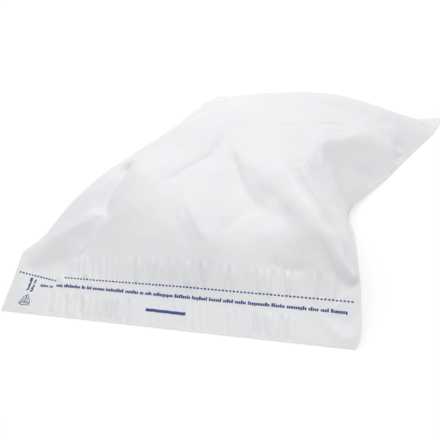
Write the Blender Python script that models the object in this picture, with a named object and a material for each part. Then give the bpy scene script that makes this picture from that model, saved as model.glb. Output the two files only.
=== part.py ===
"""Plastic mailing bag, filled and sealed, lying on its back on a table.

One closed solid. The upper film is a loft through cross sections that run from
the printed closing strip (near edge, y = 0) to the far end, with folds and
hollows laid on it. The underside follows the strip and the seams and lies flat
on the table below the contents. Metres, +Z up, the table is z = 0.
"""
import bpy
import bmesh
import numpy as np

# Sizes of the bag as it lies, in metres
BAG_WIDTH = 0.400        # near edge, from side seam to side seam
BAG_DEPTH = 0.460        # near edge to far end, measured along the table
BODY_HEIGHT = 0.080      # crown of the contents above the table
FILM_LENGTH = 0.485      # the film's own length from near edge to far seam
SEAM_THICKNESS = 0.0010  # both films and the air between them, at an edge
STRIP_THICKNESS = 0.0026 # the closing strip away from its edges
EDGE_BAND = 0.030        # border over which the strip reaches its full thickness
SEAM_BAND = 0.008        # border at a seam in which folds die out
SEAM_SKIRT = 0.034       # how far the underside takes to come down from a seam
STRIP_LENGTH = 0.074     # film length of the closing strip
STRIP_DROP = 0.070       # film length from the strip to the table, below

COLUMNS = 60             # quads across the upper film (the underside has half)
ROWS = 72                # quads along the upper film (the underside has half)

# Film width at which the points of each section stand, as a part of the width
ACROSS = np.array([0.0, 0.08, 0.26, 0.50, 0.74, 0.92, 1.0])

# Sections of the upper film: part of the film length, then for each place across
# (percent of BAG_WIDTH, percent of BAG_DEPTH, percent of BODY_HEIGHT)
SECTIONS = [
    # near edge, straight on the table
    (0.000, [(0, 0, 1.2), (8, 0, 1.2), (26, 0, 1.2), (50, 0, 1.2),
             (74, 0, 1.2), (92, 0, 1.2), (100, 0, 1.2)]),
    # closing strip, a ramp up to the body
    (0.074, [(0, 7.4, 15), (8, 7.4, 15), (26, 7.4, 15), (50, 7.4, 15),
             (74, 7.4, 15), (92, 7.4, 15), (100, 7.4, 15)]),
    (0.148, [(0, 14.6, 29), (7.5, 14.8, 33.8), (25.5, 15, 32.2), (50, 14.8, 38.7),
             (74, 14.8, 36), (92, 14.8, 34.8), (99, 14.6, 32.5)]),
    # front slope of the contents, side seams drawn in
    (0.299, [(3.8, 28.3, 24), (7.5, 29.1, 50.4), (26, 29.8, 72.9), (50, 30.2, 72.9),
             (73, 29.8, 67.3), (89, 29.1, 61), (97.5, 28.9, 32.5)]),
    (0.454, [(11.8, 43.7, 5), (14.5, 43.9, 55.8), (30, 45.7, 88.5), (53, 46.5, 82.1),
             (76, 46.7, 79.4), (88, 45, 47.3), (95.5, 43.9, 11)]),
    # crown
    (0.619, [(19, 61.7, 4), (24, 62, 48.8), (36, 63.3, 87.4), (57.5, 64.6, 93.2),
             (81, 63, 73.6), (96, 62.6, 33.5), (106, 61.7, 2.5)]),
    (0.784, [(27, 79.1, 4), (32, 78.7, 51.7), (44, 79.6, 78.9), (64.5, 81.5, 88.4),
             (87, 80.7, 60.3), (106, 79.3, 28), (116, 78.3, 2.5)]),
    # back slope, with the far right corner stretched out flat
    (0.918, [(30.5, 92.4, 4), (34.5, 92, 38), (47, 90.9, 59.6), (68, 91.5, 65.2),
             (90.5, 91.1, 57.6), (111, 89.8, 23.9), (122, 88.3, 2.5)]),
    (1.000, [(28.5, 99.6, 5), (34.5, 99.3, 23), (50, 98.3, 27.5), (70.5, 97, 25),
             (94, 95.4, 11), (114, 94.6, 2.5), (124.5, 95.9, 2.5)]),
]

# Folds: height (hollows are negative) and half width at the start and end, in percent of
# BODY_HEIGHT; lean (above 0 the fold is steeper to the right of a line that comes nearer);
# the parts of its length over which it fades in and out; and its line on the flat film as
# (percent of BAG_WIDTH from the left seam, percent of FILM_LENGTH from the near edge)
FOLDS = {
    "slack beside front ridge": (-6.4, (6, 26), 0.28, (0.16, 0.3),
        [(52.4, 51.3), (57.6, 43.2), (62.9, 36.7), (68.9, 32), (75.9, 29), (81.3, 27.7)]),
    "hollow beside it": (-3, (14, 15), 0.25, (0.2, 0.2),
        [(57.1, 46.7), (62.8, 41.1), (68, 36.4), (75.1, 33.1), (81, 28.7), (86.4, 27.9)]),
    "long right ridge": (11.9, (28, 25), 0.33, (0.25, 0.3),
        [(66.1, 44.7), (72.1, 42.4), (79.8, 38.5), (85.3, 33.4), (89.1, 28.4), (90.9, 24.2),
         (93.4, 18.7), (99.8, 13)]),
    "sharp line on the ridge": (2.4, (5, 10), -0.16, (0.15, 0.1),
        [(73, 48), (77.6, 44.1), (84.8, 39), (89, 34.1), (92.1, 30.2), (95.2, 26.1), (97, 20.4),
         (99, 15.6)]),
    "crease across its top": (1.5, (7, 7), -0.16, (0.3, 0.3),
        [(72.9, 46.7), (75.7, 49.4), (80.6, 49.1), (85.2, 48.7)]),
    "deep tuck at right of strip": (-3.2, (10, 13), 0.42, (0.35, 0.12),
        [(89.1, 25.5), (89.3, 21.6), (90.9, 17.9), (93.5, 14.4), (96.8, 13.3), (98.8, 11.5)]),
    "lip of the tuck": (6.3, (11, 11), -0.07, (0.3, 0.1),
        [(91.2, 27.7), (94.4, 23.5), (95.5, 18.5), (99.2, 13.9)]),
    "right crest": (5.1, (17, 17), 0.16, (0.12, 0.2),
        [(75.8, 59.3), (86.4, 54.4), (91.8, 49.5), (95.7, 45.7), (98.7, 42.2), (98.7, 36.6)]),
    "hollow behind crest": (-2.9, (21, 32), -0.15, (0.35, 0.15),
        [(83.9, 65.2), (88.2, 62.3), (94.1, 58.2), (100.3, 53.4)]),
    "ridge to the far corner": (8.1, (33, 41), 0.16, (0.1, 0.3),
        [(75.8, 58), (84.3, 64.7), (88, 71.1), (90.6, 76.1)]),
    "fold across the far corner": (2.1, (9, 9), 0.24, (0.25, 0.1),
        [(90, 81.7), (94, 77), (95.4, 73), (99, 71.6)]),
    "left hollow": (-9.5, (7, 14), 0.15, (0.14, 0.25),
        [(19.5, 46.5), (21.2, 40.9), (21.9, 35.7), (22.1, 30.1), (25.8, 24.1)]),
    "left ridge": (1, (14, 14), 0.01, (0.3, 0.35),
        [(13.2, 43.6), (16.5, 36.3), (17.4, 29.8)]),
    "left shoulder fold": (3.4, (9, 13), -0.11, (0.06, 0.35),
        [(24.3, 26.6), (21, 26.4), (18.5, 24), (14.2, 21.6), (9.6, 18.8), (4.6, 15.4)]),
    "hollow below shoulder": (-6, (19, 24), -0.12, (0.35, 0.3),
        [(19, 17.3), (12.6, 14.7), (2, 12.4)]),
    "left edge of contents": (7.2, (14, 23), 0.53, (0.3, 0.3),
        [(24.6, 44.9), (27.8, 40.3), (32, 37.3), (35.4, 39.1)]),
    "soft valley on top": (-2.6, (8, 9), -0.24, (0.3, 0.2),
        [(44.7, 58.5), (46.9, 52), (46.2, 47.9), (44, 45), (41.5, 41), (39.3, 37), (36.6, 35.4)]),
    "swell left of it": (-1.5, (14, 14), 0.15, (0.3, 0.3),
        [(36, 54.3), (34.8, 49.3), (33.2, 45.1), (31, 42.1)]),
    "swell right of it": (-1.1, (11, 13), -0.07, (0.3, 0.3),
        [(52.1, 53.2), (48.9, 47.6), (46.7, 42.2), (44, 37)]),
    "hollow left of corner": (-1.6, (10, 10), 0.3, (0.3, 0.25),
        [(42.5, 34), (44, 29.6), (47.2, 25), (51, 20.8), (54.6, 18)]),
    "left edge of corner": (2, (9, 12), -0.36, (0.3, 0.2),
        [(46.6, 34), (48.4, 30.9), (51.6, 26.4), (55.2, 22.2), (60, 20.6)]),
    "lower edge of corner": (-1.6, (17, 16), -0.14, (0.25, 0.25),
        [(58.6, 23.5), (65.5, 24.4), (73, 27), (78, 27.8), (83.9, 28.6)]),
    "small crease above strip": (-2.7, (7, 9), 0.04, (0.3, 0.3),
        [(75.3, 18.7), (76.5, 17.4), (78, 15.9), (83.1, 15.8), (84.1, 18.1)]),
    "upper back crease": (1, (5, 6), -0.08, (0.3, 0.3),
        [(47.6, 69), (63.1, 70.4), (76.8, 71.5)]),
    "lower back crease": (1.2, (5, 6), -0.05, (0.3, 0.2),
        [(55.8, 64.4), (68.5, 65.6), (81.6, 69.5)]),
    "slack below front ridge": (-3.8, (46, 37), -0.02, (0.4, 0.15),
        [(55.3, 44.1), (58.7, 36.8), (63.4, 30.1), (68.2, 26.2)]),
    "swell lower right": (2.1, (27, 28), -0.09, (0.5, 0.5),
        [(68, 24.1), (80.7, 23.6)]),
    "swell lower middle": (4.1, (35, 32), 0.16, (0.5, 0.5),
        [(51.6, 20.5), (63.4, 20.7)]),
    "right side roll": (2.6, (10, 10), 0.18, (0.25, 0.25),
        [(98.2, 41.4), (97.2, 35.1), (97.3, 29), (98, 22.1)]),
    "second fold beside it": (-2.4, (8, 8), -0.15, (0.25, 0.1),
        [(91.6, 76.9), (95.9, 74), (100, 67.9)]),
    "crease of the tip": (-1.2, (7, 7), -0.01, (0.2, 0.05),
        [(91.6, 90.1), (94.9, 90.9), (97.1, 90.6), (99.6, 90.9)]),
    "thin fold from the shoulder": (-2.9, (7, 7), 0.01, (0.2, 0.2),
        [(24, 27.4), (22.7, 23.1), (21, 19.7), (20.4, 16.1), (17.7, 13.4)]),
    "dark face of the far corner": (1.1, (24, 30), -0.06, (0.3, 0.3),
        [(88, 57), (93.5, 63.3), (97, 70)]),
}


def smooth_curve(knots, values, places):
    """Values at the places, on the smooth curve through the knots (cubic, slopes from both neighbours)."""
    shape = (-1,) + (1,) * (values.ndim - 1)
    steps = np.diff(knots).reshape(shape)
    rises = np.diff(values, axis=0) / steps
    slopes = np.empty_like(values)
    slopes[0] = rises[0]
    slopes[-1] = rises[-1]
    slopes[1:-1] = (steps[1:] * rises[:-1] + steps[:-1] * rises[1:]) / (steps[1:] + steps[:-1])
    first = np.clip(np.searchsorted(knots, places, side="right") - 1, 0, len(knots) - 2)
    span = (knots[first + 1] - knots[first]).reshape(shape)
    t = (places - knots[first]).reshape(shape) / span
    start = (2 * t**3 - 3 * t**2 + 1) * values[first] + (t**3 - 2 * t**2 + t) * span * slopes[first]
    end = (3 * t**2 - 2 * t**3) * values[first + 1] + (t**3 - t**2) * span * slopes[first + 1]
    return start + end


def ease(x):
    """0 to 1 with level ends."""
    x = np.clip(x, 0.0, 1.0)
    return x * x * (3.0 - 2.0 * x)


def fold_heights(across, along):
    """Sum of all folds at places on the flat film.

    Each is a bell beside its line, the height times e to the power of minus (distance / width)
    to the 1.7, with an unequal width on both sides where it leans, fading at both of its ends.
    """
    total = np.zeros_like(across)
    for height, widths, lean, fades, points in FOLDS.values():
        points = np.array(points, float) / 100.0 * (BAG_WIDTH, FILM_LENGTH)
        lengths = np.concatenate([[0.0], np.cumsum(np.linalg.norm(np.diff(points, axis=0), axis=1))])
        line = smooth_curve(lengths, points, np.linspace(0.0, lengths[-1], 25))
        nearest = np.full(across.shape, 1.0)
        place = np.zeros(across.shape)
        side = np.zeros(across.shape)
        for number, (start, end) in enumerate(zip(line[:-1], line[1:])):
            step = end - start
            part = ((across - start[0]) * step[0] + (along - start[1]) * step[1]) / (step @ step)
            part = np.clip(part, 0.0, 1.0)
            out_x = across - start[0] - part * step[0]
            out_y = along - start[1] - part * step[1]
            gap = np.hypot(out_x, out_y)
            closer = gap < nearest
            place = np.where(closer, (number + part) / 24.0, place)
            turn = (step[0] * out_y - step[1] * out_x) / np.linalg.norm(step)
            side = np.where(closer, turn, side)
            nearest = np.minimum(nearest, gap)
        width = (widths[0] + (widths[1] - widths[0]) * place) / 100.0 * BODY_HEIGHT
        width = width * (1.0 - lean * np.tanh(2.0 * side / width))
        fade = ease(place / fades[0]) * ease((1.0 - place) / fades[1])
        total += height / 100.0 * BODY_HEIGHT * np.exp(-((nearest / width) ** 1.7)) * fade
    return total


def upper_film(columns, rows, folded):
    """Points of the upper film on a grid of (columns + 1, rows + 1), with its places on the flat film."""
    part_along = np.array([section[0] for section in SECTIONS])
    points = np.array([section[1] for section in SECTIONS], float) / 100.0
    points *= (BAG_WIDTH, BAG_DEPTH, BODY_HEIGHT)
    along = np.linspace(0.0, 1.0, rows + 1)
    across = np.linspace(0.0, 1.0, columns + 1)
    film = smooth_curve(part_along, points, along)
    film = smooth_curve(ACROSS, film.transpose(1, 0, 2), across)
    flat_across, flat_along = np.meshgrid(across * BAG_WIDTH, along * FILM_LENGTH, indexing="ij")
    if folded:
        normals = np.cross(np.gradient(film, axis=0), np.gradient(film, axis=1))
        normals /= np.linalg.norm(normals, axis=2, keepdims=True)
        edge = np.minimum(flat_across, BAG_WIDTH - flat_across)
        edge = np.minimum(edge, FILM_LENGTH - flat_along)
        hold = ease(edge / SEAM_BAND) * ease(flat_along / EDGE_BAND)
        film = film + normals * (fold_heights(flat_across, flat_along) * hold)[:, :, None]
    return film, flat_across, flat_along


def underside(columns, rows):
    """Points of the underside: just below the strip and at the seams, flat on the table under the contents."""
    film, across, along = upper_film(columns, rows, False)
    edge = np.minimum(across, BAG_WIDTH - across)
    from_seam = np.minimum(edge, FILM_LENGTH - along)
    inside = ease(from_seam / EDGE_BAND) * ease(along / EDGE_BAND)
    thickness = SEAM_THICKNESS + (STRIP_THICKNESS - SEAM_THICKNESS) * inside
    strip = 1.0 - ease((along - STRIP_LENGTH) / STRIP_DROP)
    seam_height = np.where(across < BAG_WIDTH / 2, film[:1, :, 2], film[-1:, :, 2])
    skirt = seam_height * (1.0 - ease(edge / SEAM_SKIRT))
    far_skirt = film[:, -1:, 2] * (1.0 - ease((FILM_LENGTH - along) / SEAM_SKIRT))
    body = np.maximum(skirt, far_skirt)
    below = film.copy()
    below[:, :, 2] = film[:, :, 2] * strip + body * (1.0 - strip) - thickness
    folded = upper_film(columns, rows, True)[0]
    below[:, :, 2] = np.minimum(below[:, :, 2], folded[:, :, 2] - thickness * 1.5)
    below[:, :, 2] = np.maximum(below[:, :, 2], 0.0)
    return below


def place_grid(mesh, columns, rows, points):
    """Adds a grid of quads to the mesh and moves its vertices to the points. Returns them as [column][row]."""
    made = bmesh.ops.create_grid(mesh, x_segments=columns, y_segments=rows, size=0.5)
    vertices = [[None] * (rows + 1) for _ in range(columns + 1)]
    for vertex in made["verts"]:
        column = round((vertex.co.x + 0.5) * columns)
        row = round((vertex.co.y + 0.5) * rows)
        vertices[column][row] = vertex
        vertex.co = points[column, row]
    return vertices


def rim(vertices):
    """The border vertices of a grid in order, from its near left corner along the near edge and round."""
    last_column = len(vertices) - 1
    last_row = len(vertices[0]) - 1
    near = [vertices[c][0] for c in range(last_column)]
    right = [vertices[last_column][r] for r in range(last_row)]
    far = [vertices[c][last_row] for c in range(last_column, 0, -1)]
    left = [vertices[0][r] for r in range(last_row, 0, -1)]
    return near + right + far + left


def build_bag():
    film, _, _ = upper_film(COLUMNS, ROWS, True)
    base = underside(COLUMNS // 2, ROWS // 2)
    lift = base[:, :, 2].min()
    film[:, :, 2] -= lift
    base[:, :, 2] -= lift
    middle = (film[:, :, :2].reshape(-1, 2).min(axis=0) + film[:, :, :2].reshape(-1, 2).max(axis=0)) / 2.0
    film[:, :, :2] -= middle
    base[:, :, :2] -= middle

    mesh = bmesh.new()
    upper = rim(place_grid(mesh, COLUMNS, ROWS, film))
    lower = rim(place_grid(mesh, COLUMNS // 2, ROWS // 2, base))
    # The rim of the underside has half as many vertices, so each of its edges takes three triangles.
    for number, corner in enumerate(lower):
        following = lower[(number + 1) % len(lower)]
        first, second = upper[2 * number], upper[2 * number + 1]
        third = upper[(2 * number + 2) % len(upper)]
        mesh.faces.new((first, corner, second))
        mesh.faces.new((second, corner, following))
        mesh.faces.new((second, following, third))
    bmesh.ops.recalc_face_normals(mesh, faces=mesh.faces)

    data = bpy.data.meshes.new("mailer_bag")
    mesh.to_mesh(data)
    mesh.free()
    data.polygons.foreach_set("use_smooth", [True] * len(data.polygons))
    return bpy.data.objects.new("mailer_bag", data)


def film_material():
    material = bpy.data.materials.new("white_film")
    material.use_nodes = True
    shader = material.node_tree.nodes["Principled BSDF"]
    shader.inputs["Base Color"].default_value = (0.86, 0.87, 0.89, 1.0)
    shader.inputs["Roughness"].default_value = 0.42
    material.diffuse_color = (0.86, 0.87, 0.89, 1.0)
    return material


for old in list(bpy.data.objects):
    bpy.data.objects.remove(old, do_unlink=True)
collection = bpy.data.collections.new("mailer_bag")
bpy.context.scene.collection.children.link(collection)
bag = build_bag()
bag.data.materials.append(film_material())
collection.objects.link(bag)
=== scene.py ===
"""Looks of a filled plastic mailing bag: white film with folds and puckers, blue print on its strip."""
import math

import bpy
import numpy as np
from mathutils import Matrix, Vector


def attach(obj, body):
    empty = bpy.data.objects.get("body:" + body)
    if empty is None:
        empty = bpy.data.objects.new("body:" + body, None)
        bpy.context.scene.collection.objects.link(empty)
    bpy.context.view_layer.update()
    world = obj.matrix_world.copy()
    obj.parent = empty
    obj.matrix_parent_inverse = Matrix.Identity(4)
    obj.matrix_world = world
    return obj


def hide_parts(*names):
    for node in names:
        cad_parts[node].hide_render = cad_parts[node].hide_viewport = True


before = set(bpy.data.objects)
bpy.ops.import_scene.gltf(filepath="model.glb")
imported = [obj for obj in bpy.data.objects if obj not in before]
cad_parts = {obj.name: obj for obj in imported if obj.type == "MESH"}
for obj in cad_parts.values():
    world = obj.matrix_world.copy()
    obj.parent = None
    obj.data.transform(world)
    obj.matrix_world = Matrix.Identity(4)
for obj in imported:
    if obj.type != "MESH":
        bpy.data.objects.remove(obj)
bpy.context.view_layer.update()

# Sizes in metres, as the bag lies
BAG_WIDTH = 0.400
BAG_DEPTH = 0.460
BODY_HEIGHT = 0.080
FILM_LENGTH = 0.485
SEAM_THICKNESS = 0.0002
STRIP_THICKNESS = 0.0010
EDGE_LIFT = 0.0007
EDGE_BAND = 0.030
SEAM_BAND = 0.005
SEAM_SKIRT = 0.034
STRIP_LENGTH = 0.074
STRIP_DROP = 0.070

# Fine relief in metres: how far from the rim it reaches its full height, and the puckers' wave
# lengths and heights
FINE_HOLD = 0.006
PUCKER_WAVES = (0.0082, 0.0127)
UPPER_PUCKER = 0.0020
LOWER_PUCKER = 0.0019

# Part of the film's width over which an edge shift dies out
SIDE_BAND = 0.12

# Steps along a fold's line, and the power in the curve across it
FOLD_STEPS = 24
FOLD_POWER = 1.7

# Values on a side of the noise lattice, and where on it the film's near left corner lies
LATTICE = 96
LATTICE_START = (7.3, 5.1)

# Floor: half its side, and how far it lies below the bag
FLOOR_REACH = 6.0
FLOOR_DROP = 0.0006

# Cells of the upper film's grid, across and along. The underside has half as many each way
COLUMNS = 236
ROWS = 286

# Camera: lens in millimetres, place in metres and angles in degrees, found from how the strip's
# edges and printed lines run together
LENS = 46.3295
CAMERA_PLACE = (0.40417, -0.35050, 0.45815)
CAMERA_TURN = 19.404
CAMERA_DIP = 39.142
CAMERA_ROLL = 9.296

# Places across the film where each section gives a point, as parts of its width
ACROSS = np.array([0.0, 0.08, 0.26, 0.50, 0.74, 0.92, 1.0])

# Sections of the upper film: part of its length, then at each place across the point as
# (percent of BAG_WIDTH, of BAG_DEPTH, of BODY_HEIGHT)
SECTIONS = [
    # near edge, low above the table
    (0.000, [(0, 0, 1.2), (8, 0, 1.2), (26, 0, 1.2), (50, 0, 1.2),
             (74, 0, 1.2), (92, 0, 1.2), (100, 0, 1.2)]),
    # closing strip, a ramp up to the body
    (0.074, [(0, 7.4, 15), (8, 7.4, 15), (26, 7.4, 15), (50, 7.4, 15),
             (74, 7.4, 15), (92, 7.4, 15), (100, 7.4, 15)]),
    # foot of the body
    (0.148, [(0, 14.6, 29), (7.5, 14.8, 33.8), (25.5, 15, 32.2), (50, 14.8, 38.7),
             (74, 14.8, 36), (92, 14.8, 34.8), (99, 14.6, 32.5)]),
    # front slope of the contents, side seams drawn in
    (0.299, [(3.8, 28.3, 24), (7.5, 29.1, 50.4), (26, 29.8, 72.9), (50, 30.2, 72.9),
             (73, 29.8, 67.3), (89, 29.1, 61), (97.5, 28.9, 32.5)]),
    # crown
    (0.454, [(11.8, 43.7, 5), (14.5, 43.9, 55.8), (30, 45.7, 88.5), (53, 46.5, 82.1),
             (76, 46.7, 79.4), (88, 45, 47.3), (95.5, 43.9, 11)]),
    (0.619, [(19, 61.7, 4), (24, 62, 48.8), (36, 63.3, 87.4), (57.5, 64.6, 93.2),
             (81, 63, 73.6), (96, 62.6, 33.5), (106, 61.7, 1.2)]),
    # back slope, with the far right corner stretched out flat
    (0.784, [(27, 79.1, 4), (32, 78.7, 51.7), (44, 79.6, 78.9), (64.5, 81.5, 88.4),
             (87, 80.7, 60.3), (106, 79.3, 28), (116, 78.3, 1)]),
    (0.918, [(30.5, 92.4, 4), (34.5, 92, 38), (47, 90.9, 59.6), (68, 91.5, 65.2),
             (90.5, 91.1, 57.6), (111, 89.8, 23.9), (122, 88.3, 1)]),
    (1.000, [(28.5, 99.6, 5), (34.5, 99.3, 23), (50, 98.3, 27.5), (70.5, 97, 25),
             (94, 95.4, 11), (114, 94.6, 1.8), (124.5, 95.9, 1.8)]),
]

# Folds: height (hollows are negative) and half width at the start and end, in percent of
# BODY_HEIGHT; lean (above 0 the fold is steeper to the right of a line that comes nearer);
# the parts of its length over which it fades in and out; and its line on the flat film as
# (percent of BAG_WIDTH from the left seam, percent of FILM_LENGTH from the near edge)
FOLDS = {
    "slack beside front ridge": (-6.4, (6, 26), 0.28, (0.16, 0.3),
        [(52.4, 51.3), (57.6, 43.2), (62.9, 36.7), (68.9, 32), (75.9, 29), (81.3, 27.7)]),
    "hollow beside it": (-3, (14, 15), 0.25, (0.2, 0.2),
        [(57.1, 46.7), (62.8, 41.1), (68, 36.4), (75.1, 33.1), (81, 28.7), (86.4, 27.9)]),
    "long right ridge": (11.9, (28, 25), 0.33, (0.25, 0.3),
        [(63.5, 48.6), (70.6, 44.1), (79.8, 38.5), (85.3, 33.4), (89.1, 28.4), (90.9, 24.2),
         (93.4, 18.7), (99.8, 13)]),
    "sharp line on the ridge": (1.9, (6, 10), -0.16, (0.15, 0.1),
        [(73, 48), (77.6, 44.1), (84.8, 39), (89, 34.1), (92.1, 30.2), (95.2, 26.1), (97, 20.4),
         (99, 15.6)]),
    "crease across its top": (1.5, (7, 7), -0.16, (0.3, 0.3),
        [(72.9, 46.7), (75.7, 49.4), (80.6, 49.1), (85.2, 48.7)]),
    "deep tuck at right of strip": (-3.2, (10, 13), 0.42, (0.35, 0.25),
        [(89.1, 25.5), (89.3, 21.6), (90.9, 17.9), (93.5, 14.4), (96.8, 13.3), (98.8, 11.5)]),
    "lip of the tuck": (6.3, (11, 11), -0.07, (0.3, 0.1),
        [(91.2, 27.7), (94.4, 23.5), (95.5, 18.5), (99.2, 13.9)]),
    "right crest": (5.1, (17, 17), 0.16, (0.12, 0.2),
        [(75.8, 59.3), (86.4, 54.4), (91.8, 49.5), (95.7, 45.7), (98.7, 42.2), (98.7, 36.6)]),
    "hollow behind crest": (-2.9, (21, 32), -0.15, (0.35, 0.4),
        [(83.9, 65.2), (88.2, 62.3), (94.1, 58.2), (100.3, 53.4)]),
    "ridge to the far corner": (8.1, (33, 41), 0.16, (0.1, 0.3),
        [(75.8, 58), (84.3, 64.7), (88, 71.1), (90.6, 76.1)]),
    "fold across the far corner": (2.1, (9, 9), 0.24, (0.25, 0.1),
        [(90, 81.7), (94, 77), (95.4, 73), (99, 71.6)]),
    "left hollow": (-11, (7, 13), 0.15, (0.16, 0.25),
        [(19.5, 46.5), (21.2, 40.9), (21.9, 35.7), (22.1, 30.1), (25.8, 24.1)]),
    "left ridge": (1, (14, 14), 0.01, (0.3, 0.35),
        [(13.2, 43.6), (16.5, 36.3), (17.4, 29.8)]),
    "left shoulder fold": (3.4, (9, 13), -0.11, (0.06, 0.35),
        [(24.3, 26.6), (21, 26.4), (18.5, 24), (14.2, 21.6), (9.6, 18.8), (4.6, 15.4)]),
    "hollow below shoulder": (-4.5, (17, 20), -0.12, (0.35, 0.25),
        [(19.5, 15.8), (12.8, 12.9), (1, 10.2)]),
    "left edge of contents": (7.2, (14, 23), 0.53, (0.3, 0.3),
        [(24.6, 44.9), (27.8, 40.3), (32, 37.3), (35.4, 39.1)]),
    "soft valley on top": (-2.6, (8, 9), -0.24, (0.3, 0.2),
        [(44.7, 58.5), (46.9, 52), (46.2, 47.9), (44, 45), (41.5, 41), (39.3, 37), (36.6, 35.4)]),
    "swell left of it": (-1.5, (14, 14), 0.15, (0.3, 0.3),
        [(36, 54.3), (34.8, 49.3), (33.2, 45.1), (31, 42.1)]),
    "swell right of it": (-1.1, (11, 13), -0.07, (0.3, 0.3),
        [(52.1, 53.2), (48.9, 47.6), (46.7, 42.2), (44, 37)]),
    "hollow left of corner": (-1, (9, 9), 0.3, (0.3, 0.25),
        [(42.5, 34), (44, 29.6), (47.2, 25), (51, 20.8), (54.6, 18)]),
    "left edge of corner": (1.7, (8, 11), -0.36, (0.3, 0.2),
        [(46.6, 34), (48.4, 30.9), (51.6, 26.4), (55.2, 22.2), (60, 20.6)]),
    "lower edge of corner": (-1.6, (17, 16), -0.14, (0.25, 0.25),
        [(58.6, 23.5), (65.5, 24.4), (73, 27), (78, 27.8), (83.9, 28.6)]),
    "small crease above strip": (-2.2, (9, 10), 0.04, (0.3, 0.3),
        [(75.3, 18.7), (76.5, 17.4), (78, 15.9), (83.1, 15.8), (84.1, 18.1)]),
    "upper back crease": (1, (5, 6), -0.08, (0.3, 0.3),
        [(47.6, 69), (63.1, 70.4), (76.8, 71.5)]),
    "lower back crease": (1.2, (5, 6), -0.05, (0.3, 0.2),
        [(55.8, 64.4), (68.5, 65.6), (81.6, 69.5)]),
    "slack below front ridge": (-3.8, (46, 37), -0.02, (0.4, 0.15),
        [(55.3, 44.1), (58.7, 36.8), (63.4, 30.1), (68.2, 26.2)]),
    "swell lower right": (2.1, (27, 28), -0.09, (0.5, 0.5),
        [(68, 24.1), (80.7, 23.6)]),
    "swell lower middle": (4.1, (35, 32), 0.16, (0.5, 0.5),
        [(51.6, 20.5), (63.4, 20.7)]),
    "right side roll": (2.6, (10, 10), 0.18, (0.25, 0.25),
        [(98.2, 41.4), (97.2, 35.1), (97.3, 29), (98, 22.1)]),
    "second fold beside it": (-2, (5, 5), -0.15, (0.25, 0.1),
        [(91.6, 76.9), (95.9, 74), (100, 67.9)]),
    "crease of the tip": (-1.2, (7, 7), -0.01, (0.2, 0.05),
        [(91.6, 90.1), (94.9, 90.9), (97.1, 90.6), (99.6, 90.9)]),
    "thin fold from the shoulder": (-2.9, (7, 7), 0.01, (0.2, 0.2),
        [(24, 27.4), (22.7, 23.1), (21, 19.7), (20.4, 16.1), (17.7, 13.4)]),
    "dark face of the far corner": (1.1, (24, 30), -0.06, (0.3, 0.3),
        [(88, 57), (93.5, 63.3), (97, 70)]),
}

# How far the side edges move to the right at places along the film, in metres
LEFT_EDGE = ([0.0, 0.055, 0.068, 0.078, 0.087, 0.101, 0.116, 0.136, FILM_LENGTH],
             [0.0, 0.0, -0.0007, -0.0018, 0.0012, 0.0043, 0.0032, 0.0, 0.0])
RIGHT_EDGE = ([0.0, 0.010, 0.024, 0.045, 0.064, 0.090, FILM_LENGTH],
              [-0.0032, 0.0, 0.0008, -0.0002, 0.0012, 0.0, 0.0])

# Small creases, none higher than about three millimetres, in the same terms as FOLDS
CREASES = {
    "first streak on top": (1.2, (3.5, 4), 0, (0.25, 0.25),
        [(59.2, 62.6), (67.1, 66.7), (75, 71.5), (80.4, 75)]),
    "second streak on top": (0.9, (3, 3.5), 0, (0.25, 0.25),
        [(68.6, 62), (74.9, 65.4), (78.9, 68.2), (82.9, 70.8)]),
    "third streak on top": (0.8, (3.5, 4), 0, (0.25, 0.25),
        [(61.4, 70.8), (69.8, 74.9), (76.6, 79.6)]),
    "thin line from the shoulder": (1.3, (3, 3), 0, (0.15, 0.15),
        [(24.8, 26.8), (23.4, 24.1), (21.9, 20.9), (20.3, 17.7), (19.2, 15.1), (17.9, 12)]),
    "far left corner": (4, (7, 8), 0, (0.35, 0.4),
        [(12.5, 92), (16.9, 91.3), (22, 90.4), (28, 88.5)]),
    "tuck in the tear line": (1.3, (3.5, 4.5), -0.4, (0.2, 0.3),
        [(14, 10.3), (15.4, 9.2), (16.4, 8.2), (17.4, 7)]),
    "second tuck": (-0.9, (3, 4), 0.2, (0.3, 0.3),
        [(13.4, 9.2), (14.6, 8.4), (15.6, 7.4)]),
    "roll at the strip's end": (0.8, (5, 6), 0.3, (0.15, 0.1),
        [(88.6, 7.4), (90.4, 6.1), (91.9, 4.9), (93.4, 3.7), (95.1, 2.6), (97.6, 2.4), (99.6, 2.5)]),
    "slack at the strip's end": (-1.5, (9, 10), 0, (0.3, 0.2),
        [(93, 8), (95.5, 5.6), (98.5, 4.6)]),
}


def smooth_curve(knots, values, places):
    """Cubic through the knots: each span's ends and slopes, weighted by the four Hermite polynomials."""
    shape = (-1,) + (1,) * (values.ndim - 1)
    steps = np.diff(knots).reshape(shape)
    rises = np.diff(values, axis=0) / steps
    slopes = np.empty_like(values)
    slopes[0] = rises[0]
    slopes[-1] = rises[-1]
    slopes[1:-1] = (steps[1:] * rises[:-1] + steps[:-1] * rises[1:]) / (steps[1:] + steps[:-1])
    first = np.clip(np.searchsorted(knots, places, side="right") - 1, 0, len(knots) - 2)
    span = (knots[first + 1] - knots[first]).reshape(shape)
    t = (places - knots[first]).reshape(shape) / span
    start = (2 * t**3 - 3 * t**2 + 1) * values[first] + (t**3 - 2 * t**2 + t) * span * slopes[first]
    end = (3 * t**2 - 2 * t**3) * values[first + 1] + (t**3 - t**2) * span * slopes[first + 1]
    return start + end


def ease(x):
    """3x squared minus 2x cubed, held to 0 below 0 and to 1 above 1."""
    x = np.clip(x, 0.0, 1.0)
    return x * x * (3.0 - 2.0 * x)


def band(x, low, high, soft):
    """1 between low and high, easing to 0 over soft on both sides."""
    return ease((x - low + soft) / soft) * ease((high + soft - x) / soft)


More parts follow.
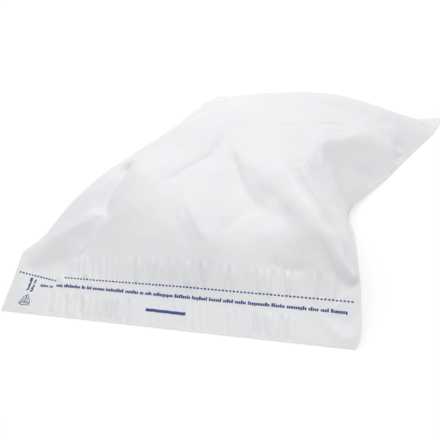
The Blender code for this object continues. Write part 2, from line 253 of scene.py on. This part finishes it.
def fold_heights(across, along, folds):
    """Sum over the folds of height times exp(-(distance to its line / half width) to FOLD_POWER)
    times its fades. The half width runs evenly from its start to its end value, and the lean makes it
    smaller on one side of the line and greater on the other."""
    total = np.zeros_like(across)
    for height, widths, lean, fades, points in folds.values():
        points = np.array(points, float) / 100.0 * (BAG_WIDTH, FILM_LENGTH)
        lengths = np.concatenate([[0.0], np.cumsum(np.linalg.norm(np.diff(points, axis=0), axis=1))])
        line = smooth_curve(lengths, points, np.linspace(0.0, lengths[-1], FOLD_STEPS + 1))
        nearest = np.full(across.shape, 1.0)
        place = np.zeros(across.shape)
        side = np.zeros(across.shape)
        for number, (start, end) in enumerate(zip(line[:-1], line[1:])):
            step = end - start
            part = ((across - start[0]) * step[0] + (along - start[1]) * step[1]) / (step @ step)
            part = np.clip(part, 0.0, 1.0)
            out_x = across - start[0] - part * step[0]
            out_y = along - start[1] - part * step[1]
            gap = np.hypot(out_x, out_y)
            closer = gap < nearest
            place = np.where(closer, (number + part) / FOLD_STEPS, place)
            turn = (step[0] * out_y - step[1] * out_x) / np.linalg.norm(step)
            side = np.where(closer, turn, side)
            nearest = np.minimum(nearest, gap)
        width = (widths[0] + (widths[1] - widths[0]) * place) / 100.0 * BODY_HEIGHT
        width = width * (1.0 - lean * np.tanh(2.0 * side / width))
        fade = ease(place / fades[0]) * ease((1.0 - place) / fades[1])
        total += height / 100.0 * BODY_HEIGHT * np.exp(-((nearest / width) ** FOLD_POWER)) * fade
    return total


def soft_noise(across, along, size, seed):
    """Value noise: seeded random values on a lattice of that pitch, joined by eased bilinear weights."""
    rng = np.random.default_rng(seed)
    lattice = rng.uniform(-1.0, 1.0, (LATTICE, LATTICE))
    x = across / size[0] + LATTICE_START[0]
    y = along / size[1] + LATTICE_START[1]
    i = np.floor(x).astype(int)
    j = np.floor(y).astype(int)
    u = ease(x - i)
    v = ease(y - j)
    left, right = i % LATTICE, (i + 1) % LATTICE
    near, far = j % LATTICE, (j + 1) % LATTICE
    low = lattice[left, near] * (1 - u) + lattice[right, near] * u
    high = lattice[left, far] * (1 - u) + lattice[right, far] * u
    return low * (1 - v) + high * v


def strip_puckers(across, along):
    """Short ripples in the two glued bands above and below the print: two sines of the place across,
    their phase and strength moved by noise. They weaken to the right, and the lower band's also
    weaken beside the bar."""
    lean = across + 0.10 * (along - 0.05) * (1.0 + soft_noise(across, along, (0.06, 0.2), 8))
    shift = 3.4 * soft_noise(across, along, (0.030, 0.20), 3)
    wave = np.sin(2 * math.pi * lean / PUCKER_WAVES[0] + shift)
    second = np.sin(2 * math.pi * lean / PUCKER_WAVES[1] + 2.0 * shift + 1.3)
    uneven = 0.50 + 0.75 * ease(0.5 + 0.85 * soft_noise(across, along, (0.017, 0.04), 4))
    ripple = (0.62 * wave + 0.50 * second) * uneven
    upper = band(along, 0.054, 0.066, 0.011) * band(across, 0.088, 0.372, 0.02)
    upper *= 1.4 - 0.75 * across / BAG_WIDTH
    lower = band(along, 0.009, 0.022, 0.009) * band(across, 0.062, 0.335, 0.02)
    lower *= 1.0 - 0.72 * band(across, 0.172, 0.220, 0.02)
    lower *= 1.0 - 0.45 * ease((across - 0.20) / 0.06)
    return ripple * (UPPER_PUCKER * upper + LOWER_PUCKER * lower)


def film_waves(across, along):
    """Slack of thin film: three layers of soft noise, each finer and lower than the last."""
    slack = 0.0009 * soft_noise(across + 0.3 * along, along, (0.034, 0.05), 11)
    slack += 0.0004 * soft_noise(across, along - 0.2 * across, (0.014, 0.022), 12)
    slack += 0.00012 * soft_noise(across, along, (0.006, 0.009), 13)
    return slack * (0.35 + 0.65 * ease((along - 0.05) / 0.06))


def edge_shift(along, places, shifts):
    """How far an edge moves to the right at that film length: a smooth curve through the named places."""
    return smooth_curve(np.array(places), np.array(shifts), along)


def upper_film(columns, rows, folded):
    """Points of the upper film on a (columns + 1, rows + 1) grid, and their places on the flat film:
    smooth both ways through SECTIONS, the sides moved by the edge shifts, and each point moved along
    its normal by folds, creases, puckers and slack where folded is true."""
    part_along = np.array([section[0] for section in SECTIONS])
    points = np.array([section[1] for section in SECTIONS], float) / 100.0
    points *= (BAG_WIDTH, BAG_DEPTH, BODY_HEIGHT)
    along = np.linspace(0.0, 1.0, rows + 1)
    across = np.linspace(0.0, 1.0, columns + 1)
    film = smooth_curve(part_along, points, along)
    film = smooth_curve(ACROSS, film.transpose(1, 0, 2), across)
    film[:, :, 2] -= EDGE_LIFT * (1.0 - ease(along * FILM_LENGTH / EDGE_BAND))
    beside_right = ease((across - 1.0 + SIDE_BAND) / SIDE_BAND)
    beside_left = ease((SIDE_BAND - across) / SIDE_BAND)
    film[:, :, 0] += edge_shift(along * FILM_LENGTH, *RIGHT_EDGE) * beside_right[:, None]
    film[:, :, 0] += edge_shift(along * FILM_LENGTH, *LEFT_EDGE) * beside_left[:, None]
    flat_across, flat_along = np.meshgrid(across * BAG_WIDTH, along * FILM_LENGTH, indexing="ij")
    if folded:
        normals = surface_normals(film)
        edge = np.minimum(flat_across, BAG_WIDTH - flat_across)
        edge = np.minimum(edge, FILM_LENGTH - flat_along)
        hold = ease(edge / SEAM_BAND) * ease(flat_along / EDGE_BAND)
        fine = ease(edge / FINE_HOLD) * ease(flat_along / FINE_HOLD)
        height = fold_heights(flat_across, flat_along, FOLDS) * hold
        small = strip_puckers(flat_across, flat_along) + film_waves(flat_across, flat_along)
        height += (small + fold_heights(flat_across, flat_along, CREASES)) * fine
        film = film + normals * height[:, :, None]
    return film, flat_across, flat_along


def surface_normals(grid):
    """Cross product of the grid's two central differences, scaled to one."""
    normals = np.cross(np.gradient(grid, axis=0), np.gradient(grid, axis=1))
    return normals / np.maximum(np.linalg.norm(normals, axis=2, keepdims=True), 1e-12)


def underside(columns, rows):
    """Points of the underside: the upper film less its thickness at strip and seams, eased down to the
    table between them, and nowhere above the folded film less one and a half times its thickness."""
    film, across, along = upper_film(columns, rows, False)
    folded = upper_film(columns, rows, True)[0]
    edge = np.minimum(across, BAG_WIDTH - across)
    from_seam = np.minimum(edge, FILM_LENGTH - along)
    inside = ease(from_seam / EDGE_BAND) * ease(along / EDGE_BAND)
    thickness = SEAM_THICKNESS + (STRIP_THICKNESS - SEAM_THICKNESS) * inside
    strip = 1.0 - ease((along - STRIP_LENGTH) / STRIP_DROP)
    seam_height = np.where(across < BAG_WIDTH / 2, film[:1, :, 2], film[-1:, :, 2])
    skirt = seam_height * (1.0 - ease(edge / SEAM_SKIRT))
    far_skirt = film[:, -1:, 2] * (1.0 - ease((FILM_LENGTH - along) / SEAM_SKIRT))
    body = np.maximum(skirt, far_skirt)
    below = film.copy()
    below[:, :, 2] = film[:, :, 2] * strip + body * (1.0 - strip) - thickness
    below[:, :, 2] = np.minimum(below[:, :, 2], folded[:, :, 2] - thickness * 1.5)
    below[:, :, 2] = np.maximum(below[:, :, 2], 0.0)
    return below


def grid_rim(columns, rows, first):
    """Numbers of a grid's border points in order, near edge first, then right, far and left."""
    number = first + np.arange((columns + 1) * (rows + 1)).reshape(columns + 1, rows + 1)
    return np.concatenate([number[:-1, 0], number[-1, :-1], number[:0:-1, -1], number[0, :0:-1]])


def grid_quads(columns, rows, first, turned):
    """Four point numbers for each cell, anticlockwise seen from above, or the other way if turned."""
    number = first + np.arange((columns + 1) * (rows + 1)).reshape(columns + 1, rows + 1)
    corners = [number[:-1, :-1], number[1:, :-1], number[1:, 1:], number[:-1, 1:]]
    quads = np.stack(corners, axis=-1).reshape(-1, 4)
    return quads[:, ::-1] if turned else quads


def new_piece(name, points, faces, material):
    """A smooth shaded mesh piece on the bag's one body."""
    data = bpy.data.meshes.new(name)
    data.from_pydata(points.tolist(), [], [face.tolist() for group in faces for face in group])
    data.polygons.foreach_set("use_smooth", np.ones(len(data.polygons), bool))
    data.materials.append(material)
    piece = bpy.data.objects.new(name, data)
    bpy.context.scene.collection.objects.link(piece)
    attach(piece, "root")
    return piece


def mark_rim(piece, rim):
    """Sharp edges along the rim, so that the film's cut edge doesn't round off the shading beside it."""
    ends = np.empty(len(piece.data.edges) * 2, np.int32)
    piece.data.edges.foreach_get("vertices", ends)
    sharp = np.isin(ends.reshape(-1, 2), rim).all(axis=1)
    piece.data.attributes.new("sharp_edge", "BOOLEAN", "EDGE").data.foreach_set("value", sharp)


def add_flat_map(piece, across, along):
    """UV map that holds each corner's place on the flat film, in units of 0.1 m."""
    layer = piece.data.uv_layers.new(name="flat")
    corners = np.empty(len(piece.data.loops), np.int32)
    piece.data.loops.foreach_get("vertex_index", corners)
    places = np.stack([across[corners], along[corners]], axis=-1).astype(np.float32)
    layer.data.foreach_set("uv", places.ravel() * 10.0)


def node_setup(name):
    """A new material with its nodes, its links and its shader."""
    material = bpy.data.materials.new(name)
    material.use_nodes = True
    nodes, links = material.node_tree.nodes, material.node_tree.links
    return material, nodes, links, nodes["Principled BSDF"]


def object_noise(nodes, links, scale, detail, distortion=0.0):
    """Noise on the piece's Object coordinates."""
    place = nodes.new("ShaderNodeTexCoord")
    noise = nodes.new("ShaderNodeTexNoise")
    noise.inputs["Scale"].default_value = scale
    noise.inputs["Detail"].default_value = detail
    noise.inputs["Distortion"].default_value = distortion
    links.new(place.outputs["Object"], noise.inputs["Vector"])
    return noise.outputs["Fac"]


def tones(nodes, links, noise, low, high):
    """Colour that runs from one to another between two values of the noise, each a (value, colour)."""
    ramp = nodes.new("ShaderNodeValToRGB")
    for stop, (value, colour) in zip(ramp.color_ramp.elements, (low, high)):
        stop.position = value
        stop.color = (*colour, 1.0)
    links.new(noise, ramp.inputs["Fac"])
    return ramp.outputs["Color"]


def white_film():
    """Milky polyethylene: faint clouds in the colour, uneven gloss, crinkles finer than the mesh."""
    material, nodes, links, shader = node_setup("white_film")
    clouds = object_noise(nodes, links, 14.0, 5.0)
    tint = tones(nodes, links, clouds, (0.30, (0.835, 0.842, 0.862)), (0.72, (0.880, 0.885, 0.900)))
    links.new(tint, shader.inputs["Base Color"])
    gloss = nodes.new("ShaderNodeMapRange")
    gloss.inputs["To Min"].default_value = 0.30
    gloss.inputs["To Max"].default_value = 0.44
    links.new(object_noise(nodes, links, 60.0, 3.0), gloss.inputs["Value"])
    links.new(gloss.outputs["Result"], shader.inputs["Roughness"])
    bump = nodes.new("ShaderNodeBump")
    bump.inputs["Strength"].default_value = 0.18
    bump.inputs["Distance"].default_value = 0.0006
    links.new(object_noise(nodes, links, 160.0, 6.0, 0.6), bump.inputs["Height"])
    links.new(bump.outputs["Normal"], shader.inputs["Normal"])
    shader.inputs["Specular IOR Level"].default_value = 0.5
    shader.inputs["Subsurface Weight"].default_value = 0.35
    shader.inputs["Subsurface Radius"].default_value = (0.006, 0.006, 0.007)
    return material


def blue_ink():
    """Dark blue flexographic ink, thinner in spots, about as glossy as the film."""
    material, nodes, links, shader = node_setup("blue_ink")
    spots = object_noise(nodes, links, 900.0, 2.0)
    tint = tones(nodes, links, spots, (0.35, (0.018, 0.036, 0.205)), (0.80, (0.055, 0.085, 0.330)))
    links.new(tint, shader.inputs["Base Color"])
    shader.inputs["Roughness"].default_value = 0.42
    return material


def build_film(material):
    """The bag's two films as one closed skin, centred over the origin, with a border of triangles
    that joins their rims. Returns the upper film's points and how far they were moved."""
    half_columns, half_rows = COLUMNS // 2, ROWS // 2
    film, across, along = upper_film(COLUMNS, ROWS, True)
    below = underside(half_columns, half_rows)
    low, high = film.min(axis=(0, 1)), film.max(axis=(0, 1))
    offset = np.array([(film[0, 0, 0] + high[0]) / 2, (low[1] + high[1]) / 2, below[:, :, 2].min()])
    film = film - offset
    below = below - offset
    upper_count = film.shape[0] * film.shape[1]
    points = np.concatenate([film.reshape(-1, 3), below.reshape(-1, 3)])
    upper_rim = grid_rim(COLUMNS, ROWS, 0)
    lower_rim = grid_rim(half_columns, half_rows, upper_count)
    first, second, third = upper_rim[0::2], upper_rim[1::2], np.roll(upper_rim[0::2], -1)
    corner, following = lower_rim, np.roll(lower_rim, -1)
    border = np.concatenate([
        np.stack([second, first, corner], axis=-1),
        np.stack([following, second, corner], axis=-1),
        np.stack([third, second, following], axis=-1),
    ])
    upper_cells = grid_quads(COLUMNS, ROWS, 0, False)
    lower_cells = grid_quads(half_columns, half_rows, upper_count, True)
    piece = new_piece("film_skin", points, [upper_cells, lower_cells, border], material)
    mark_rim(piece, np.concatenate([upper_rim, lower_rim]))
    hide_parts("mailer_bag")
    flat_across = np.concatenate([across.ravel(), across[::2, ::2].ravel()])
    flat_along = np.concatenate([along.ravel(), along[::2, ::2].ravel()])
    add_flat_map(piece, flat_across, flat_along)
    return film, offset


def on_film(film, across, along, proud):
    """Points that far above the upper film at places on the flat film, bilinear between its grid points."""
    normals = surface_normals(film)
    x = np.clip(across / BAG_WIDTH * COLUMNS, 0, COLUMNS - 1e-6)
    y = np.clip(along / FILM_LENGTH * ROWS, 0, ROWS - 1e-6)
    i, j = np.floor(x).astype(int), np.floor(y).astype(int)
    u, v = (x - i)[..., None], (y - j)[..., None]

    def blend(grid):
        near = grid[i, j] * (1 - u) + grid[i + 1, j] * u
        far = grid[i, j + 1] * (1 - u) + grid[i + 1, j + 1] * u
        return near * (1 - v) + far * v

    normal = blend(normals)
    return blend(film) + normal / np.linalg.norm(normal, axis=-1, keepdims=True) * proud


def print_patches(name, film, corners, material, cells=(4, 2), proud=0.0001):
    """Flat inked shapes: each is four corners on the flat film, filled with a bilinear grid of quads."""
    corners = np.array(corners, float)
    s = np.linspace(0.0, 1.0, cells[0] + 1)[None, :, None, None]
    t = np.linspace(0.0, 1.0, cells[1] + 1)[None, None, :, None]
    a, b, c, d = (corners[:, k, None, None, :] for k in range(4))
    places = (a * (1 - s) + b * s) * (1 - t) + (d * (1 - s) + c * s) * t
    points = on_film(film, places[..., 0], places[..., 1], proud).reshape(-1, 3)
    one = grid_quads(*cells, 0, False)
    count = (cells[0] + 1) * (cells[1] + 1)
    faces = (one[None] + count * np.arange(len(corners))[:, None, None]).reshape(-1, 4)
    return new_piece(name, points, [faces], material)


def bar(x0, y0, x1, y1, width):
    """Corners of a straight bar of that width between two places on the flat film, in millimetres."""
    start, end = np.array([x0, y0]), np.array([x1, y1])
    side = (end - start) / np.linalg.norm(end - start)
    side = np.array([-side[1], side[0]]) * width / 2
    return np.array([start - side, end - side, end + side, start + side]) / 1000.0


def tear_line_marks():
    """Dashes at a 4 mm pitch across the strip. The tuck breaks the line: left of it the dashes come
    nearer by 7.3 mm in 50 mm and thin out, right of it they go back by 1.6 mm in 328 mm."""
    marks = []
    for start in np.arange(5.2, 54.0, 4.0):
        y = 49.5 - 7.3 * (start - 5.2) / 50.2
        width = 1.9 * (1.0 - 0.25 * ease((start - 44.0) / 12.0))
        marks.append(bar(start, y, start + 2.4, y - 0.35, width))
    for start in np.arange(66.0, 393.0, 4.0):
        y = 46.7 + 1.6 * (start - 66.0) / 328.0
        marks.append(bar(start, y, start + 2.4, y, 1.65))
    return marks


def word_marks(x0, x1, y, height, seed, gap=0.38, shortest=2):
    """A row of upright dabs in groups, as small print looks from too far away to read. Their sizes
    come from a seeded generator, so they spell nothing."""
    rng = np.random.default_rng(seed)
    marks = []
    x = x0
    while x < x1:
        for _ in range(rng.integers(shortest, 11)):
            step = rng.uniform(1.6, 2.5) * height / 3.6
            kind = rng.uniform()
            if x + step > x1:
                break
            low = y - height * (0.62 if kind > 0.94 else 0.42)
            high = y + height * (0.58 if kind < 0.26 else 0.28)
            end = x + step - gap
            marks.append(np.array([(x, low), (end, low), (end, high), (x, high)]) / 1000.0)
            x += step
        x += rng.uniform(1.3, 1.8) * height / 3.6
    return marks


def upright(marks, x, low):
    """The same marks as a column that runs up the strip from (x, low), in millimetres."""
    return [np.stack([x / 1000.0 - m[:, 1], low / 1000.0 + m[:, 0]], axis=-1) for m in marks]


def sorting_mark(x, y, reach):
    """A triangle of three outlined bands, each with a point at its end, and two dabs in the middle."""
    middle = np.array([x, y])
    third = 2.0 * math.pi / 3.0
    marks = []
    for turn in (0.0, third, 2.0 * third):
        tip = middle + reach * np.array([math.sin(turn), math.cos(turn)])
        way = middle + reach * np.array([math.sin(turn + third), math.cos(turn + third)]) - tip
        side = np.array([way[1], -way[0]]) / np.linalg.norm(way)
        for inner in (0.0, 2.2):
            start = tip + (0.06 + 0.05 * inner) * way + inner * side
            marks.append(bar(*start, *(tip + 0.60 * way + inner * side), 0.75))
        head = tip + 0.60 * way + 1.1 * side
        point = tip + 0.88 * way + 1.1 * side
        marks.append(bar(*(head - 2.1 * side), *point, 0.75))
        marks.append(bar(*(head + 2.1 * side), *point, 0.75))
    marks.append(bar(x - 1.8, y - 0.9, x + 1.4, y - 0.9, 0.9))
    marks.append(bar(x - 0.2, y + 1.6, x - 0.2, y - 0.9, 0.9))
    return marks


def build_print(film, ink):
    """All that is printed on the strip, at places in millimetres from the film's near left corner."""
    print_patches("tear_line", film, tear_line_marks(), ink)
    print_patches("strip_line", film, word_marks(57.8, 387.0, 37.1, 3.9, 21), ink)
    print_patches("strip_line_start", film, word_marks(37.5, 55.5, 35.0, 3.2, 25), ink)
    print_patches("plain_bar", film, [bar(173.5, 18.8, 219.0, 18.4, 3.4)], ink, cells=(40, 4), proud=0.0002)
    columns = upright(word_marks(0.0, 15.5, 0.0, 3.3, 22, 0.25, 5), 23.4, 27.7)
    columns += upright(word_marks(0.0, 16.0, 0.0, 3.3, 23, 0.25, 5), 28.8, 26.3)
    columns.append(bar(23.0, 40.2, 23.0, 43.8, 3.6))
    print_patches("side_lines", film, columns, ink)
    print_patches("sorting_mark", film, sorting_mark(25.6, 14.6, 9.5), ink)


def clear_rays(nodes, links):
    """1 for camera, glossy and transmission rays: the rays that show the background as white."""
    rays = nodes.new("ShaderNodeLightPath")
    seen = rays.outputs["Is Camera Ray"]
    for kind in ("Is Glossy Ray", "Is Transmission Ray"):
        either = nodes.new("ShaderNodeMath")
        either.operation = "MAXIMUM"
        links.new(seen, either.inputs[0])
        links.new(rays.outputs[kind], either.inputs[1])
        seen = either.outputs["Value"]
    return seen


def floor_material():
    """Matt pale paper, which shows as the photo's white to the camera and keeps the bag's soft shadow."""
    material, nodes, links, shader = node_setup("studio_floor")
    shader.inputs["Base Color"].default_value = (0.62, 0.62, 0.62, 1.0)
    shader.inputs["Roughness"].default_value = 0.9
    shader.inputs["Specular IOR Level"].default_value = 0.0
    paper = nodes.new("ShaderNodeBsdfDiffuse")
    paper.inputs["Color"].default_value = (0.34, 0.34, 0.34, 1.0)
    glow = nodes.new("ShaderNodeEmission")
    glow.inputs["Color"].default_value = (1.0, 1.0, 1.0, 1.0)
    glow.inputs["Strength"].default_value = 0.70
    seen = nodes.new("ShaderNodeAddShader")
    links.new(paper.outputs["BSDF"], seen.inputs[0])
    links.new(glow.outputs["Emission"], seen.inputs[1])
    mix = nodes.new("ShaderNodeMixShader")
    links.new(clear_rays(nodes, links), mix.inputs["Fac"])
    links.new(shader.outputs["BSDF"], mix.inputs[1])
    links.new(seen.outputs["Shader"], mix.inputs[2])
    links.new(mix.outputs["Shader"], nodes["Material Output"].inputs["Surface"])
    return material


def build_floor():
    """A wide square a little below the bag, so that the two never meet."""
    data = bpy.data.meshes.new("floor")
    signs = ((-1, -1), (1, -1), (1, 1), (-1, 1))
    corners = [(x * FLOOR_REACH, y * FLOOR_REACH, -FLOOR_DROP) for x, y in signs]
    data.from_pydata(corners, [], [(0, 1, 2, 3)])
    data.materials.append(floor_material())
    floor = bpy.data.objects.new("floor", data)
    bpy.context.scene.collection.objects.link(floor)


def soft_lamp(name, place, target, size, power):
    """A square lamp at a place, facing the target."""
    lamp = bpy.data.lights.new(name, "AREA")
    lamp.shape = "SQUARE"
    lamp.size = size
    lamp.energy = power
    holder = bpy.data.objects.new(name, lamp)
    bpy.context.scene.collection.objects.link(holder)
    way = Vector(target) - Vector(place)
    holder.location = place
    holder.rotation_euler = way.to_track_quat("-Z", "Y").to_euler()


def light_studio():
    """Even light all round and one large soft lamp above and behind, as the folds' shading shows."""
    world = bpy.data.worlds.new("studio")
    bpy.context.scene.world = world
    world.use_nodes = True
    nodes, links = world.node_tree.nodes, world.node_tree.links
    sky = nodes["Background"]
    sky.inputs["Color"].default_value = (1.0, 1.0, 1.0, 1.0)
    sky.inputs["Strength"].default_value = 0.62
    white = nodes.new("ShaderNodeBackground")
    white.inputs["Color"].default_value = (1.0, 1.0, 1.0, 1.0)
    white.inputs["Strength"].default_value = 1.0
    mix = nodes.new("ShaderNodeMixShader")
    links.new(clear_rays(nodes, links), mix.inputs["Fac"])
    links.new(sky.outputs["Background"], mix.inputs[1])
    links.new(white.outputs["Background"], mix.inputs[2])
    links.new(mix.outputs["Shader"], nodes["World Output"].inputs["Surface"])
    soft_lamp("key_lamp", (-0.15, 0.95, 2.00), (0.0, 0.0, 0.04), 2.6, 26.0)


def place_camera(offset):
    """The photo's camera, turned to the left, dipped and rolled, moved as the bag was."""
    turn, dip, roll = (math.radians(angle) for angle in (CAMERA_TURN, CAMERA_DIP, CAMERA_ROLL))
    forward = np.array([-math.sin(turn) * math.cos(dip), math.cos(turn) * math.cos(dip), -math.sin(dip)])
    level = np.array([math.cos(turn), math.sin(turn), 0.0])
    up = np.cross(level, forward)
    right = level * math.cos(roll) - up * math.sin(roll)
    up = np.cross(right, forward)
    lens = bpy.data.cameras.new("camera")
    lens.sensor_width = 36.0
    lens.lens = LENS
    lens.clip_start = 0.01
    camera = bpy.data.objects.new("camera", lens)
    bpy.context.scene.collection.objects.link(camera)
    matrix = np.eye(4)
    matrix[:3, 0], matrix[:3, 1], matrix[:3, 2] = right, up, -forward
    matrix[:3, 3] = np.array(CAMERA_PLACE) - offset
    camera.matrix_world = Matrix(matrix.tolist())
    bpy.context.scene.camera = camera


bpy.context.scene.view_settings.view_transform = "Standard"
film_grid, film_offset = build_film(white_film())
build_print(film_grid, blue_ink())
build_floor()
light_studio()
place_camera(film_offset)

bpy.context.view_layer.update()
